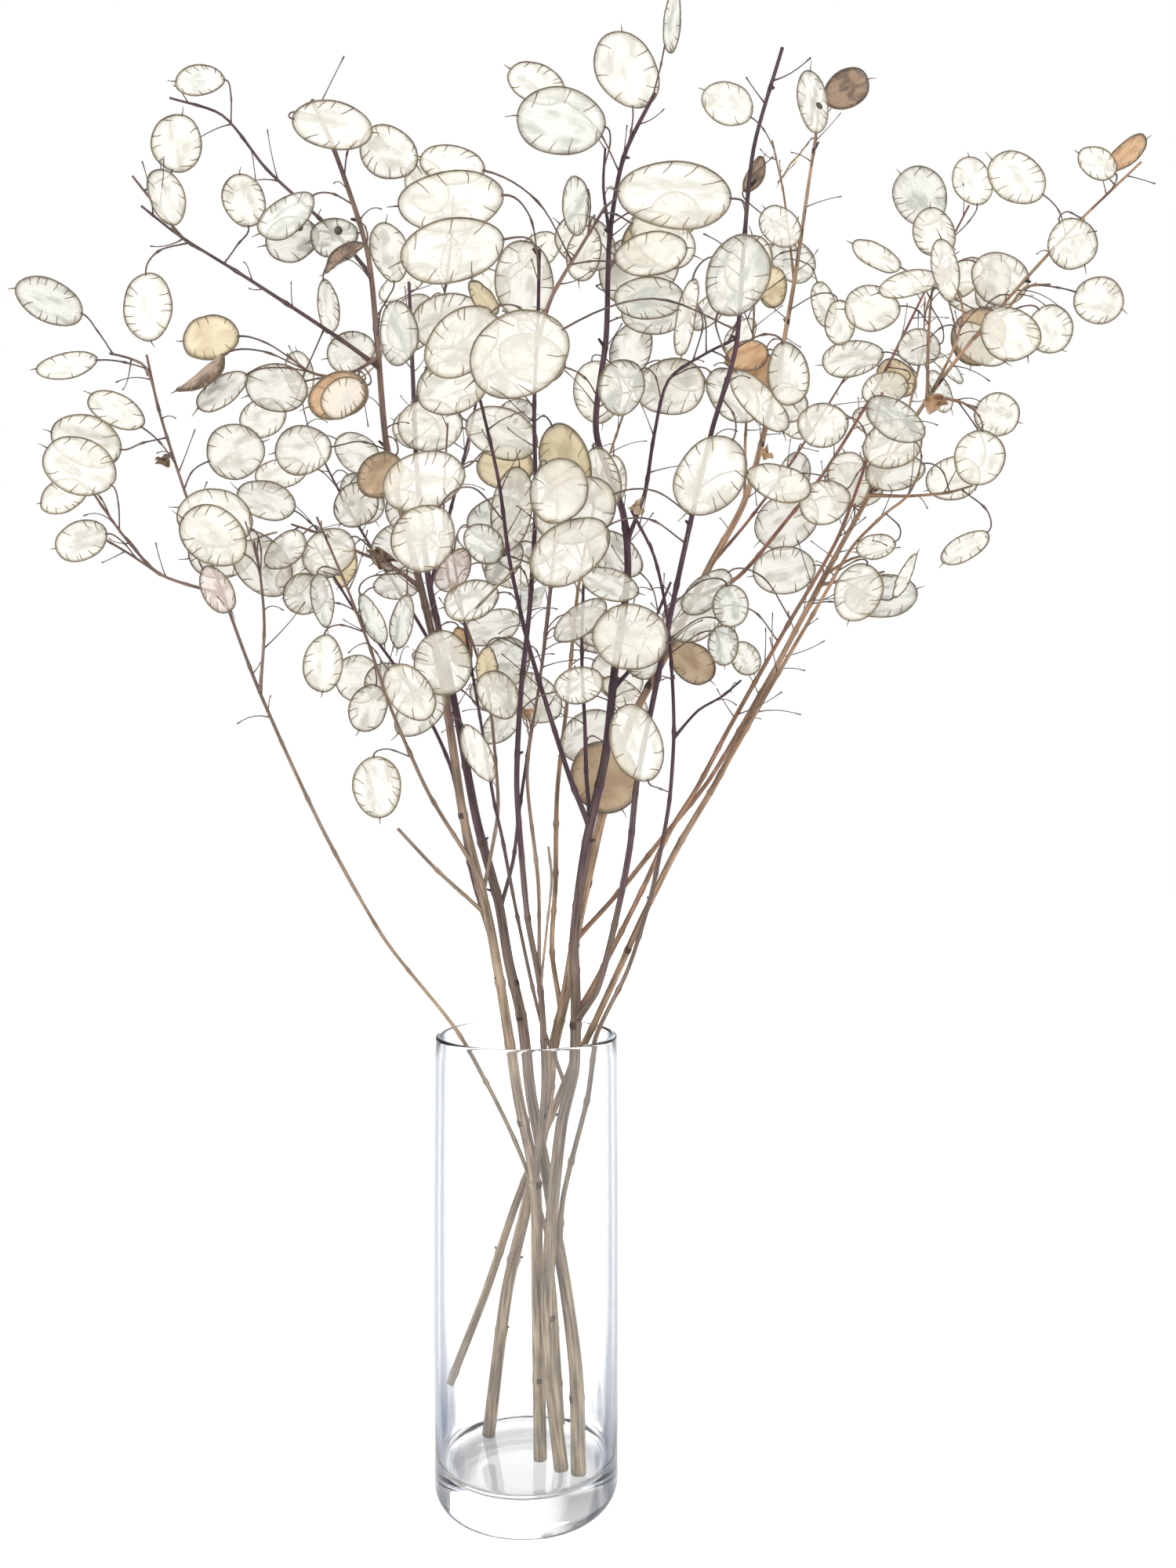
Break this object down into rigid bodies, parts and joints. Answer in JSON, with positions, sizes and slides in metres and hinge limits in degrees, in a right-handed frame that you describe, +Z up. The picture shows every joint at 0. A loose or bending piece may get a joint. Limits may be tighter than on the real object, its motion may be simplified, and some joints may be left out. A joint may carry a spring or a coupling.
{
  "type": "dried honesty stems with seed pods in a glass vase",
  "caption": "Clear glass cylinder vase holding tall, branched dried stems hung with flat, silvery, oval seed pods that fan out above its rim.",
  "frame": {"origin": "centre of the vase's flat foot, on the surface that it stands on", "axes": "+Z up along the vase's axis, -Y towards the viewer, +X to the viewer's right"},
  "size_m": [0.7016, 0.4098, 0.9912],
  "materials": {
    "vase_glass": "clear colourless soda-lime glass, fire-polished rim, thick base",
    "dried_stem": "dry ridged bark, tan at the foot and purple-brown towards the tips",
    "pod_membrane": "thin papery membrane, translucent ivory with a silky silver sheen",
    "pod_husk": "dry thin husk, matt tan to dark brown",
    "seed": "flat dark seed, matt"
  },
  "bodies": {
    "root": {"vase": "vase_glass", "stem_left": "dried_stem", "stem_tall_left": "dried_stem", "stem_purple": "dried_stem", "stem_centre": "dried_stem", "stem_tan": "dried_stem", "stem_right": "dried_stem"}
  },
  "joints": []
}
